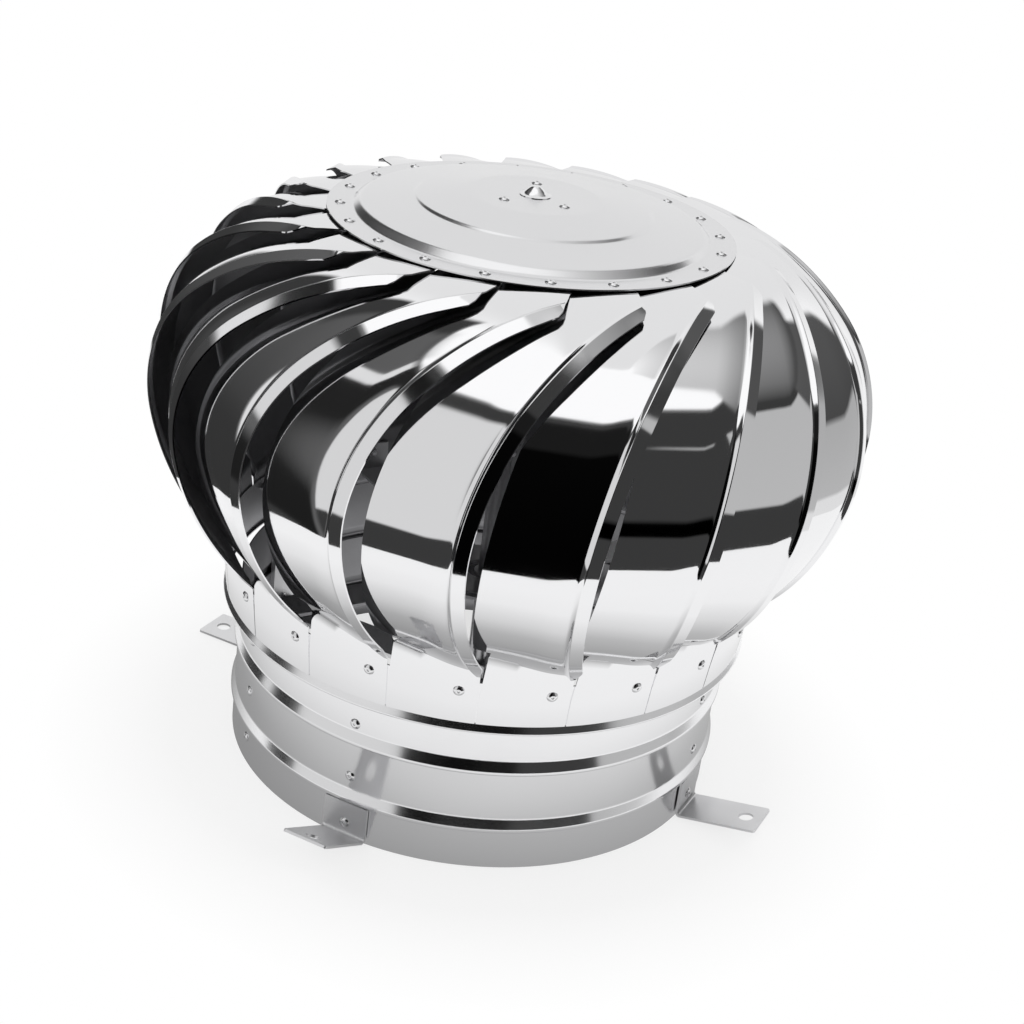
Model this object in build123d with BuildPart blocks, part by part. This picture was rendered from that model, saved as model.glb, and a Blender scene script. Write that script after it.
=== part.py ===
from build123d import *
import os
from math import asin, atan2, cos, degrees, hypot, pi, radians, sin, sqrt, tan

os.makedirs("parts", exist_ok=True)

# Roof turbine ventilator for a 300 mm duct. The origin is the centre of the collar's foot, +Z is up.
# Azimuths are degrees about +Z from +X, seen from above.

# Sheet and running clearances
sheet = 0.8
vane_sheet = 0.8
fit_clearance = 0.05
running_clearance = 0.08
vane_gap = 0.6

# Throat collar and its rolled beads
collar_radius = 150.0
collar_height = 103.0
bead_rise = 2.2
bead_half_width = 2.6
bead_flat_half_width = 1.0
lower_bead_height = 28.7
upper_bead_height = 66.9
seam_azimuth = 208.5
seam_width = 20.0
seam_rivet_heights = (15.6, 47.7, 82.0)

# Foot brackets: straps bent outwards from the collar, each at the angle that it has in the photograph
bracket_azimuth = 65.4
bracket_count = 4
bracket_names = ("back_right", "back_left", "front_left", "front_right")
bracket_slopes = (0.0, 0.0, 27.7, 10.7)
bracket_thickness = 1.5
bracket_width = 28.0
bracket_leg_height = 24.0
bracket_foot_length = 51.0
bracket_hole_distance = 40.7
bracket_hole_radius = 4.5
bracket_corner_radius = 1.5
bracket_bend_radius = 3.0
bracket_rivet_height = 10.2

# Fixed cross bars in the collar
bar_width = 25.0
bar_thickness = 3.0
bar_height = 30.0
bar_tab_top = 84.0
bar_rivet_heights = (41.0, 75.6)

# Shaft, nuts and washers
shaft_radius = 6.0
shaft_bottom = 14.0
shaft_end_gap = 1.0
shaft_chamfer = 1.0
nut_width = 19.0
nut_height = 10.0
nut_chamfer = 1.0
washer_radius = 12.0
washer_thickness = 2.5
circlip_thickness = 1.1
circlip_rim = 2.4
circlip_groove_depth = 0.4
circlip_gap = 4.0

# Ball bearings, shielded, and their flanged cups
bearing_radius = 16.0
bearing_inner_ring_radius = 9.0
bearing_width = 10.0
bearing_chamfer = 0.6
cup_sheet = 1.5
cup_lip = 2.5
cup_flange_radius = 33.0
cup_rivet_radius = 24.0
cup_rivet_azimuths = (90.0, 225.0, 315.0)

# Rotor ring: a slightly conical band with a rolled bead at its foot
ring_overlap = 8.5
ring_height = 32.5
ring_foot_radius = 158.2
ring_slope = 6.8
ring_bead_half_width = 1.8
ring_bead_rise = 1.5
ring_rivet_depth = 6.2
ring_rivet_lead_angle = 14.14

# Rotor brace
brace_rise = 13.5
brace_thickness = 2.0
brace_arm_width = 22.0
brace_hub_radius = 36.0

# Vanes. Each is rolled sheet: a flat top under the cap, then three arcs, straight along the sheet's width
vane_count = 20
lip_plane_azimuth = 37.15
lip_plane_distance = 112.5
lip_plane_height = 225.0
lip_plane_tilt = 7.3
blade_azimuth = 50.2
blade_width = 50.0
lip_width = 7.0
lip_drop = 3.0
flat_start = 20.0
flat_end = 50.8
shoulder_radius = 153.0
shoulder_end = 40.0
belly_radius = 93.0
belly_end = 100.0
skirt_radius = 143.0
skirt_rise = 20.6
foot_rise = 5.5
foot_lead_angle = 27.18
slit_depth = 10.0
slit_reach = 25.0
slit_width = 3.0
vane_top_azimuth = 174.3
vane_notch_radius = 144.4
vane_notch_azimuth = 188.2
vane_top_reach = 18.1

# Top cap
vane_top_height = 336.4
cap_radius = 117.1
cap_rivet_inset = 7.8
cap_rivet_azimuth = 97.05
cap_rim_width = 14.1
cap_step_width = 5.0
cap_step_rise = 4.0
cap_middle_rise = 4.2
cap_disc_radius = 69.0
cap_disc_step_width = 2.5
cap_disc_step_rise = 1.6
cap_disc_rise = 4.8
cap_centre_radius = 38.0
plug_hole_radius = 4.0
plug_radius = 6.5
plug_height = 5.6
plug_stem_depth = 0.2

# Rivets
rivet_shank_radius = 1.6
rivet_head_radius = 3.2
rivet_head_height = 1.3
rivet_tail_radius = 2.3
rivet_tail_height = 1.4
rivet_relief = 0.04
rivet_hole_depth = 5.0

pitch = 360.0 / vane_count
collar_inner_radius = collar_radius - sheet
ring_bottom = collar_height - ring_overlap
ring_top = ring_bottom + ring_height
ring_bead_height = ring_bottom + ring_bead_half_width
ring_rivet_height = ring_top - ring_rivet_depth
brace_height = ring_bottom + brace_rise
slit_bottom = ring_top - slit_depth
slit_top = ring_top + slit_reach
vane_foot_bottom = ring_bottom + foot_rise
cap_rivet_radius = cap_radius - cap_rivet_inset
cap_step_radius = cap_radius - cap_rim_width
vane_top_inner_radius = cap_radius - vane_top_reach
cap_rim_top = vane_top_height + sheet
cap_centre_top = cap_rim_top + cap_step_rise + cap_middle_rise + cap_disc_step_rise + cap_disc_rise
cap_underside = cap_centre_top - sheet
shaft_top = cap_underside - shaft_end_gap
upper_cup_top = cap_underside
lower_cup_top = brace_height + brace_thickness + cup_sheet
cup_radius = bearing_radius + fit_clearance + cup_sheet
cup_depth = cup_sheet + bearing_width + cup_sheet
rivet_hole_radius = rivet_shank_radius + fit_clearance
lip_plane_direction = Vector(cos(radians(lip_plane_azimuth)), sin(radians(lip_plane_azimuth)), 0)
blade_direction = Vector(cos(radians(blade_azimuth)), sin(radians(blade_azimuth)), 0)
flat_height = (vane_top_height - lip_plane_height) / cos(radians(lip_plane_tilt))
flat_height -= lip_width * tan(radians(lip_plane_tilt))

# The vane's line ends over the ring's foot. The skirt turns as far as that takes, and one scale for the three
# arcs makes up the height
vane_reach = sqrt(ring_foot_radius**2 - lip_plane_distance**2)
line_run = vane_reach - flat_end
line_drop = flat_height - (ring_bottom + skirt_rise - lip_plane_height) / cos(radians(lip_plane_tilt))
upper_run = shoulder_radius * sin(radians(shoulder_end))
upper_run += belly_radius * (sin(radians(belly_end)) - sin(radians(shoulder_end)))
upper_run -= skirt_radius * sin(radians(belly_end))
upper_drop = shoulder_radius * (1 - cos(radians(shoulder_end)))
upper_drop += belly_radius * (cos(radians(shoulder_end)) - cos(radians(belly_end)))
upper_drop += skirt_radius * cos(radians(belly_end))
turn_sine = (upper_drop * line_run - upper_run * line_drop) / skirt_radius / hypot(line_run, line_drop)
skirt_end = degrees(pi - asin(turn_sine) - atan2(line_run, line_drop))
arc_scale = line_drop / (upper_drop - skirt_radius * cos(radians(skirt_end)))

vane_foot_azimuth = lip_plane_azimuth + 90 + degrees(atan2(lip_plane_distance, vane_reach)) - foot_lead_angle
ring_rivet_azimuth = vane_foot_azimuth + ring_rivet_lead_angle + 3 * pitch


def ring_outer_radius(height):
    """Radius of the rotor ring's outer face, which widens upwards."""
    return ring_foot_radius + (height - ring_bottom) * tan(radians(ring_slope))


def profile_plane(azimuth):
    """Vertical plane through the axis: local x is the radius, local y is the height."""
    a = radians(azimuth)
    return Plane(origin=(0, 0, 0), x_dir=(cos(a), sin(a), 0), z_dir=(sin(a), -cos(a), 0))


def wall_plane(azimuth, radius, height, lean=0.0):
    """Plane on a round wall, facing outwards and leaning down by lean degrees: local x is along the wall."""
    a = radians(azimuth)
    lean = radians(lean)
    outwards = (cos(a) * cos(lean), sin(a) * cos(lean), -sin(lean))
    origin = (radius * cos(a), radius * sin(a), height)
    return Plane(origin=origin, x_dir=(-sin(a), cos(a), 0), z_dir=outwards)


def level_plane(azimuth, radius, height):
    """Level plane at a polar position, facing up: local x points outwards."""
    a = radians(azimuth)
    return Plane(origin=(radius * cos(a), radius * sin(a), height), x_dir=(cos(a), sin(a), 0), z_dir=(0, 0, 1))


def lip_plane(depth):
    """Plane of a vane's free edge, moved inwards by depth: local x is along the rotor, local y is up."""
    a = radians(lip_plane_azimuth)
    tilt = radians(lip_plane_tilt)
    inwards = Vector(cos(a) * cos(tilt), sin(a) * cos(tilt), sin(tilt))
    foot = Vector(0, 0, lip_plane_height) - lip_plane_direction * lip_plane_distance
    return Plane(origin=foot + inwards * depth, x_dir=(-sin(a), cos(a), 0), z_dir=inwards)


def vane_line(outset):
    """The vane's rolled line, top to foot, moved outwards by outset. Returns its two ends."""
    flat = Line((flat_start, flat_height + outset), (flat_end, flat_height + outset))
    shoulder = JernArc(flat @ 1, flat % 1, arc_scale * shoulder_radius + outset, -shoulder_end)
    belly = JernArc(shoulder @ 1, shoulder % 1, arc_scale * belly_radius + outset, shoulder_end - belly_end)
    skirt = JernArc(belly @ 1, belly % 1, arc_scale * skirt_radius + outset, belly_end - skirt_end)
    return flat @ 0, skirt @ 1


def vane_sheet_face(outset):
    """Cross-section of the vane's sheet."""
    with BuildLine() as outline:
        outer_top, outer_foot = vane_line(outset)
        inner_top, inner_foot = vane_line(outset - vane_sheet)
        Line(outer_top, inner_top)
        Line(outer_foot, inner_foot)
    make_face(outline.edges())


def vane_hollow_face(outset):
    """Everything on the vane's inner side, from the middle of its sheet."""
    with BuildLine() as outline:
        top, foot = vane_line(outset - vane_sheet / 2)
        Polyline(foot, (-cap_radius, foot.Y), (-cap_radius, top.Y), top)
    make_face(outline.edges())


def vane_sweep(draw_face, mode):
    """Lip and blade: tapered from the free edge to the lip's root, then straight along the blade."""
    with BuildSketch(lip_plane(0)) as edge:
        draw_face(-lip_drop)
    with BuildSketch(lip_plane(lip_width)) as root:
        draw_face(0)
    loft([edge.sketch, root.sketch], ruled=True, mode=mode)
    extrude(root.sketch, amount=blade_width, dir=blade_direction, mode=mode)


def cone_wall(azimuth, arc, inset, thickness, bottom, top, mode=Mode.ADD):
    """A stretch of conical wall, set in from the rotor ring's outer face and as thick as stated."""
    bottom_radius = ring_outer_radius(bottom) - inset
    top_radius = ring_outer_radius(top) - inset
    with BuildSketch(profile_plane(azimuth)) as profile:
        with BuildLine():
            Polyline(
                (bottom_radius - thickness, bottom),
                (bottom_radius, bottom),
                (top_radius, top),
                (top_radius - thickness, top),
                close=True,
            )
        make_face()
    revolve(profile.sketch, axis=Axis.Z, revolution_arc=arc, mode=mode)


def rivet_group(planes, grip):
    """Dome-headed blind rivets, one on each plane, with the head outside and the shank through the grip."""
    with BuildPart() as rivet:
        with BuildSketch(Plane.XZ):
            with BuildLine():
                Polyline(
                    (0, rivet_head_height),
                    (rivet_head_radius * 0.55, rivet_head_height),
                    (rivet_head_radius, 0),
                    (rivet_shank_radius, 0),
                    (rivet_shank_radius, -grip),
                    (rivet_tail_radius, -grip),
                    (rivet_tail_radius, -grip - rivet_tail_height),
                    (0, -grip - rivet_tail_height),
                    close=True,
                )
            make_face()
        revolve(axis=Axis.Z)
    with BuildPart() as group:
        with Locations(*[plane.location for plane in planes]):
            add(rivet.part)
    return group.part


def drill(planes):
    """Rivet holes, centred on each plane and deep enough for every joint."""
    for plane in planes:
        with BuildSketch(plane) as hole:
            Circle(rivet_hole_radius)
        extrude(hole.sketch, amount=rivet_hole_depth, both=True, mode=Mode.SUBTRACT)


def finish(part, name):
    """Names a finished piece and writes its file."""
    part.label = name
    export_step(part, "parts/" + name + ".step")


# Places of the rivets
bracket_azimuths = [bracket_azimuth + 90 * index for index in range(bracket_count)]
seam_planes = [wall_plane(seam_azimuth, collar_radius, height) for height in seam_rivet_heights]
bar_rivet_planes = [
    wall_plane(azimuth, collar_radius, height) for azimuth in bracket_azimuths for height in bar_rivet_heights
]
bracket_rivet_planes = [
    wall_plane(azimuth, collar_radius + bracket_thickness, bracket_rivet_height) for azimuth in bracket_azimuths
]
vane_foot_radius = ring_outer_radius(ring_rivet_height) + vane_sheet
ring_rivet_azimuths = [ring_rivet_azimuth + pitch * index for index in range(vane_count)]
brace_azimuths = ring_rivet_azimuths[:: vane_count // 4]
ring_rivet_planes = [
    wall_plane(azimuth, vane_foot_radius, ring_rivet_height, ring_slope) for azimuth in ring_rivet_azimuths
]
brace_rivet_planes = ring_rivet_planes[:: vane_count // 4]
vane_rivet_planes = [plane for plane in ring_rivet_planes if plane not in brace_rivet_planes]
cap_rivet_planes = [
    level_plane(cap_rivet_azimuth + pitch * index, cap_rivet_radius, cap_rim_top) for index in range(vane_count)
]
cap_cup_rivet_planes = [level_plane(azimuth, cup_rivet_radius, cap_centre_top) for azimuth in cup_rivet_azimuths]
brace_cup_rivet_planes = [level_plane(azimuth, cup_rivet_radius, lower_cup_top) for azimuth in cup_rivet_azimuths]

# Throat collar, with the lap of its seam inside
with BuildPart() as throat_collar:
    with BuildSketch(Plane.XZ):
        with BuildLine():
            wall_points = [(collar_radius, 0)]
            for bead_height in (lower_bead_height, upper_bead_height):
                wall_points += [
                    (collar_radius, bead_height - bead_half_width),
                    (collar_radius + bead_rise, bead_height - bead_flat_half_width),
                    (collar_radius + bead_rise, bead_height + bead_flat_half_width),
                    (collar_radius, bead_height + bead_half_width),
                ]
            wall_points += [(collar_radius, collar_height)]
            Polyline(*wall_points, *[(x - sheet, y) for x, y in reversed(wall_points)], close=True)
        make_face()
    revolve(axis=Axis.Z)
    seam_arc = seam_width / radians(1) / collar_radius
    with BuildSketch(profile_plane(seam_azimuth - seam_arc / 2)):
        with BuildLine():
            Polyline(
                (collar_inner_radius - sheet, 0),
                (collar_inner_radius, 0),
                (collar_inner_radius, collar_height),
                (collar_inner_radius - sheet, collar_height),
                close=True,
            )
        make_face()
    revolve(axis=Axis.Z, revolution_arc=seam_arc)
    drill(seam_planes + bar_rivet_planes + bracket_rivet_planes)

# Foot brackets
brackets = []
for azimuth, bracket_slope in zip(bracket_azimuths, bracket_slopes):
    a = radians(azimuth)
    slope = radians(bracket_slope)
    foot_plane = Plane(
        origin=(collar_radius * cos(a), collar_radius * sin(a), 0),
        x_dir=(cos(a) * cos(slope), sin(a) * cos(slope), sin(slope)),
        z_dir=(-cos(a) * sin(slope), -sin(a) * sin(slope), cos(slope)),
    )
    with BuildPart() as bracket:
        with BuildSketch(profile_plane(azimuth)):
            with BuildLine():
                FilletPolyline(
                    (collar_radius, bracket_leg_height),
                    (collar_radius, 0),
                    (collar_radius + bracket_foot_length * cos(slope), bracket_foot_length * sin(slope)),
                    radius=bracket_bend_radius,
                )
                offset(amount=bracket_thickness, side=Side.LEFT)
            make_face()
        extrude(amount=bracket_width / 2, both=True)
        across_sheet = bracket.edges().filter_by(Axis((0, 0, 0), foot_plane.z_dir))
        fillet(across_sheet.sort_by_distance((0, 0, 0))[-2:], bracket_corner_radius)
        with BuildSketch(foot_plane):
            with Locations((bracket_hole_distance, 0)):
                Circle(bracket_hole_radius)
        extrude(amount=2 * bracket_thickness, both=True, mode=Mode.SUBTRACT)
        drill(bracket_rivet_planes)
    brackets.append(bracket.part)


def cross_bar(azimuth, height):
    """Flat bar across the collar with a turned-up tab at each end, holed for the shaft."""
    tab_radius = collar_inner_radius - fit_clearance
    with BuildPart() as bar:
        with BuildSketch(Plane.XY.offset(height)):
            Rectangle(2 * tab_radius, bar_width, rotation=azimuth)
            Circle(tab_radius - bar_thickness / 2, mode=Mode.INTERSECT)
            Circle(shaft_radius + fit_clearance, mode=Mode.SUBTRACT)
        extrude(amount=bar_thickness)
        tab_arc = bar_width / radians(1) / tab_radius
        for end in (azimuth, azimuth + 180):
            with BuildSketch(profile_plane(end - tab_arc / 2)):
                with Locations((tab_radius, height)):
                    Rectangle(bar_thickness, bar_tab_top - height, align=(Align.MAX, Align.MIN))
            revolve(axis=Axis.Z, revolution_arc=tab_arc)
        drill(bar_rivet_planes)
    return bar.part


lower_bar = cross_bar(bracket_azimuth, bar_height)
upper_bar = cross_bar(bracket_azimuth + 90, bar_height + bar_thickness)
bars_top = bar_height + 2 * bar_thickness

# Shaft, grooved for circlips: both sides of the lower bearing, and under the upper one, which bears the rotor
lower_bearing_bottom = lower_cup_top - cup_sheet - bearing_width
upper_bearing_bottom = upper_cup_top - cup_sheet - bearing_width
circlip_bottoms = (
    lower_bearing_bottom - circlip_thickness,
    lower_bearing_bottom + bearing_width,
    upper_bearing_bottom - circlip_thickness,
)
with BuildPart() as shaft:
    with BuildSketch(Plane.XY.offset(shaft_bottom)):
        Circle(shaft_radius)
    extrude(amount=shaft_top - shaft_bottom)
    chamfer(shaft.edges().group_by(Axis.Z)[0] + shaft.edges().group_by(Axis.Z)[-1], shaft_chamfer)
    for circlip_bottom in circlip_bottoms:
        with BuildSketch(Plane.XY.offset(circlip_bottom)):
            Circle(shaft_radius)
            Circle(shaft_radius - circlip_groove_depth, mode=Mode.SUBTRACT)
        extrude(amount=circlip_thickness, mode=Mode.SUBTRACT)

with BuildPart() as circlips:
    for circlip_bottom in circlip_bottoms:
        with BuildSketch(Plane.XY.offset(circlip_bottom)):
            Circle(shaft_radius + circlip_rim)
            Circle(shaft_radius - circlip_groove_depth + fit_clearance, mode=Mode.SUBTRACT)
            Rectangle(2 * washer_radius, circlip_gap, align=(Align.MIN, Align.CENTER), mode=Mode.SUBTRACT)
        extrude(amount=circlip_thickness)


def hex_nut(bottom):
    """Plain hexagon nut on the shaft, chamfered on both faces."""
    with BuildPart() as nut:
        with BuildSketch(Plane.XY.offset(bottom)):
            RegularPolygon(nut_width / 2, 6, major_radius=False)
            Circle(shaft_radius + fit_clearance, mode=Mode.SUBTRACT)
        extrude(amount=nut_height)
        corner_radius = nut_width / 2 / cos(radians(30))
        with BuildSketch(Plane.XZ):
            with BuildLine():
                Polyline(
                    (shaft_radius, bottom),
                    (corner_radius - nut_chamfer, bottom),
                    (corner_radius, bottom + nut_chamfer),
                    (corner_radius, bottom + nut_height - nut_chamfer),
                    (corner_radius - nut_chamfer, bottom + nut_height),
                    (shaft_radius, bottom + nut_height),
                    close=True,
                )
            make_face()
        revolve(axis=Axis.Z, mode=Mode.INTERSECT)
    return nut.part


lower_nut = hex_nut(bar_height - washer_thickness - nut_height)
upper_nut = hex_nut(bars_top + washer_thickness)

with BuildPart() as shaft_washers:
    for washer_bottom in (bar_height - washer_thickness, bars_top):
        with BuildSketch(Plane.XY.offset(washer_bottom)):
            Circle(washer_radius)
            Circle(shaft_radius + fit_clearance, mode=Mode.SUBTRACT)
        extrude(amount=washer_thickness)


def bearing_ring(bottom, inner_radius, outer_radius):
    """One ring of a ball bearing, chamfered at its four corners."""
    with BuildPart() as ring:
        with BuildSketch(Plane.XZ) as half:
            with Locations((inner_radius, bottom)):
                Rectangle(outer_radius - inner_radius, bearing_width, align=(Align.MIN, Align.MIN))
            outer_corners = half.vertices().group_by(Axis.X)[-1 if outer_radius == bearing_radius else 0]
            chamfer(outer_corners, bearing_chamfer)
        revolve(axis=Axis.Z)
    return ring.part


shield_radius = bearing_inner_ring_radius + running_clearance
lower_inner_ring = bearing_ring(lower_bearing_bottom, shaft_radius + fit_clearance, bearing_inner_ring_radius)
upper_inner_ring = bearing_ring(upper_bearing_bottom, shaft_radius + fit_clearance, bearing_inner_ring_radius)
lower_outer_ring = bearing_ring(lower_bearing_bottom, shield_radius, bearing_radius)
upper_outer_ring = bearing_ring(upper_bearing_bottom, shield_radius, bearing_radius)


def bearing_cup(top, rivet_planes):
    """Pressed cup, flanged at its top, with a lip over and a lip under the bearing."""
    wall_inner = bearing_radius + fit_clearance
    lip_radius = bearing_radius - cup_lip
    with BuildPart() as cup:
        with BuildSketch(Plane.XZ):
            with BuildLine():
                Polyline(
                    (lip_radius, top),
                    (cup_flange_radius, top),
                    (cup_flange_radius, top - cup_sheet),
                    (cup_radius, top - cup_sheet),
                    (cup_radius, top - cup_depth),
                    (lip_radius, top - cup_depth),
                    (lip_radius, top - cup_depth + cup_sheet),
                    (wall_inner, top - cup_depth + cup_sheet),
                    (wall_inner, top - cup_sheet),
                    (lip_radius, top - cup_sheet),
                    close=True,
                )
            make_face()
        revolve(axis=Axis.Z)
        drill(rivet_planes)
    return cup.part


upper_cup = bearing_cup(upper_cup_top, cap_cup_rivet_planes)
lower_cup = bearing_cup(lower_cup_top, brace_cup_rivet_planes)

# Rotor brace: four arms with turned-up tabs inside the rotor ring
with BuildPart() as rotor_brace:
    with BuildSketch(Plane.XY.offset(brace_height)):
        arm_reach = ring_outer_radius(brace_height) - sheet - fit_clearance
        for azimuth in brace_azimuths[:2]:
            Rectangle(2 * arm_reach, brace_arm_width, rotation=azimuth)
        Circle(arm_reach - brace_thickness / 2, mode=Mode.INTERSECT)
        Circle(brace_hub_radius)
        Circle(cup_radius + fit_clearance, mode=Mode.SUBTRACT)
    extrude(amount=brace_thickness)
    brace_arc = brace_arm_width / radians(1) / arm_reach
    for azimuth in brace_azimuths:
        cone_wall(
            azimuth - brace_arc / 2, brace_arc, sheet + fit_clearance, brace_thickness, brace_height, ring_top
        )
    drill(brace_rivet_planes)
    drill(brace_cup_rivet_planes)

# Rotor ring
with BuildPart() as rotor_ring:
    with BuildSketch(Plane.XZ):
        bead_top = 2 * ring_bead_height - ring_bottom
        bead_radius = ring_foot_radius + ring_bead_rise
        with BuildLine():
            Polyline(
                (ring_foot_radius - sheet, ring_bottom),
                (ring_foot_radius, ring_bottom),
                (bead_radius, ring_bead_height - bead_flat_half_width / 2),
                (bead_radius, ring_bead_height + bead_flat_half_width / 2),
                (ring_outer_radius(bead_top), bead_top),
                (ring_outer_radius(ring_top), ring_top),
                (ring_outer_radius(ring_top) - sheet, ring_top),
                close=True,
            )
        make_face()
    revolve(axis=Axis.Z)
    drill(ring_rivet_planes)

# One vane: its foot on the rotor ring reaches up to the fold where the blade starts
foot_gap = vane_gap / radians(1) / vane_foot_radius
foot_arc = pitch - foot_gap
with BuildPart() as vane_foot:
    cone_wall(vane_foot_azimuth + foot_gap / 2, foot_arc, -vane_sheet, vane_sheet, vane_foot_bottom, slit_top)
    vane_sweep(vane_hollow_face, Mode.SUBTRACT)

with BuildPart() as vane:
    vane_sweep(vane_sheet_face, Mode.ADD)
    # The blade ends in the foot's sheet, and its lip rests over the next foot with a gap
    cone_wall(0, 360, -vane_sheet / 2, ring_foot_radius, ring_bottom, slit_top, Mode.SUBTRACT)
    cone_wall(
        vane_foot_azimuth + pitch - foot_gap / 2,
        pitch,
        -vane_sheet - vane_gap / 2,
        4 * vane_sheet,
        ring_bottom,
        slit_top,
        Mode.SUBTRACT,
    )
    add(vane_foot.part)
    # The slit beside the foot widens upwards
    with BuildSketch(wall_plane(vane_foot_azimuth, 0, 0)):
        with BuildLine():
            Polyline(
                (0, slit_bottom),
                (slit_width, slit_top),
                (-4 * slit_width, slit_top),
                (-4 * slit_width, slit_bottom),
                close=True,
            )
        make_face()
    extrude(amount=vane_foot_radius + 4 * vane_sheet, mode=Mode.SUBTRACT)
    # Under the cap the vane keeps clear of its neighbour, of the shaft's side and of the next vane
    top_gap = vane_gap / radians(1) / cap_rivet_radius
    with BuildSketch(profile_plane(vane_top_azimuth + top_gap / 2)):
        with Locations((0, vane_top_height)):
            Rectangle(cap_radius, 2 * cap_step_rise, align=(Align.MIN, Align.CENTER))
    revolve(axis=Axis.Z, revolution_arc=-2 * pitch, mode=Mode.SUBTRACT)
    with BuildSketch(Plane.XY.offset(vane_top_height)):
        Circle(vane_top_inner_radius)
    extrude(amount=3 * cap_step_rise, both=True, mode=Mode.SUBTRACT)
    corner_azimuth = radians(vane_top_azimuth + pitch - top_gap / 2)
    notch_azimuth = radians(vane_notch_azimuth)
    beyond_azimuth = corner_azimuth + radians(4 * pitch)
    with BuildSketch(Plane.XY.offset(vane_top_height)):
        with BuildLine():
            Polyline(
                (vane_top_inner_radius / 2 * cos(corner_azimuth), vane_top_inner_radius / 2 * sin(corner_azimuth)),
                (cap_radius * cos(corner_azimuth), cap_radius * sin(corner_azimuth)),
                (vane_notch_radius * cos(notch_azimuth), vane_notch_radius * sin(notch_azimuth)),
                (2 * cap_radius * cos(notch_azimuth), 2 * cap_radius * sin(notch_azimuth)),
                (2 * cap_radius * cos(beyond_azimuth), 2 * cap_radius * sin(beyond_azimuth)),
                close=True,
            )
        make_face()
    extrude(amount=3 * cap_step_rise, both=True, mode=Mode.SUBTRACT)
    drill(ring_rivet_planes)
    drill(cap_rivet_planes)

# Top cap
with BuildPart() as top_cap:
    with BuildSketch(Plane.XZ):
        step_top = cap_rim_top + cap_step_rise
        disc_edge = step_top + cap_middle_rise
        disc_top = disc_edge + cap_disc_step_rise
        cap_points = [
            (plug_hole_radius, cap_centre_top),
            (cap_centre_radius, cap_centre_top),
            (cap_disc_radius - cap_disc_step_width, disc_top),
            (cap_disc_radius, disc_edge),
            (cap_step_radius - cap_step_width, step_top),
            (cap_step_radius, cap_rim_top),
            (cap_radius, cap_rim_top),
        ]
        with BuildLine():
            Polyline(*cap_points, *[(x, y - sheet) for x, y in reversed(cap_points)], close=True)
        make_face()
    revolve(axis=Axis.Z)
    drill(cap_rivet_planes + cap_cup_rivet_planes)

# Domed plug in the middle of the cap
with BuildPart() as centre_plug:
    with BuildSketch(Plane.XZ):
        stem_radius = plug_hole_radius - fit_clearance
        stem_bottom = cap_underside - plug_stem_depth
        with BuildLine():
            Polyline((0, stem_bottom), (stem_radius, stem_bottom), (stem_radius, cap_centre_top))
            Line((stem_radius, cap_centre_top), (plug_radius, cap_centre_top))
            dome_radius = (plug_radius**2 + plug_height**2) / (2 * plug_height)
            RadiusArc((plug_radius, cap_centre_top), (0, cap_centre_top + plug_height), -dome_radius)
            Line((0, cap_centre_top + plug_height), (0, stem_bottom))
        make_face()
    revolve(axis=Axis.Z)

finish(throat_collar.part, "throat_collar")
for name, part in zip(bracket_names, brackets):
    finish(part, "foot_bracket_" + name)
finish(rivet_group(bracket_rivet_planes, bracket_thickness + sheet + rivet_relief), "foot_bracket_rivets")
finish(rivet_group(seam_planes, 2 * sheet + rivet_relief), "collar_seam_rivets")
finish(lower_bar, "lower_cross_bar")
finish(upper_bar, "upper_cross_bar")
bar_grip = sheet + fit_clearance + bar_thickness + rivet_relief
finish(rivet_group(bar_rivet_planes, bar_grip), "cross_bar_rivets")
finish(shaft.part, "shaft")
finish(circlips.part, "shaft_circlips")
finish(lower_nut, "shaft_lower_nut")
finish(upper_nut, "shaft_upper_nut")
finish(shaft_washers.part, "shaft_washers")
finish(lower_inner_ring, "lower_bearing_inner_ring")
finish(upper_inner_ring, "upper_bearing_inner_ring")
finish(lower_outer_ring, "lower_bearing_outer_ring")
finish(upper_outer_ring, "upper_bearing_outer_ring")
finish(lower_cup, "lower_bearing_cup")
finish(upper_cup, "upper_bearing_cup")
finish(rivet_group(brace_cup_rivet_planes, cup_sheet + brace_thickness), "lower_cup_rivets")
finish(rivet_group(cap_cup_rivet_planes, sheet + cup_sheet), "upper_cup_rivets")
finish(rotor_brace.part, "rotor_brace")
brace_grip = vane_sheet + sheet + fit_clearance + brace_thickness + rivet_relief
finish(rivet_group(brace_rivet_planes, brace_grip), "rotor_brace_rivets")
finish(rotor_ring.part, "rotor_ring")
finish(rivet_group(vane_rivet_planes, vane_sheet + sheet + rivet_relief), "rotor_ring_rivets")
for number in range(vane_count):
    with BuildPart() as vane_copy:
        add(vane.part, rotation=(0, 0, number * pitch))
    finish(vane_copy.part, "vane_" + str(number + 1).zfill(2))
finish(top_cap.part, "top_cap")
finish(rivet_group(cap_rivet_planes, sheet + vane_sheet), "cap_rivets")
finish(centre_plug.part, "centre_plug")
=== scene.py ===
from math import atan2, cos, degrees, hypot, pi, radians, sin, tan

import bmesh
import bpy
import numpy as np
from mathutils import Matrix, Vector


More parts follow.
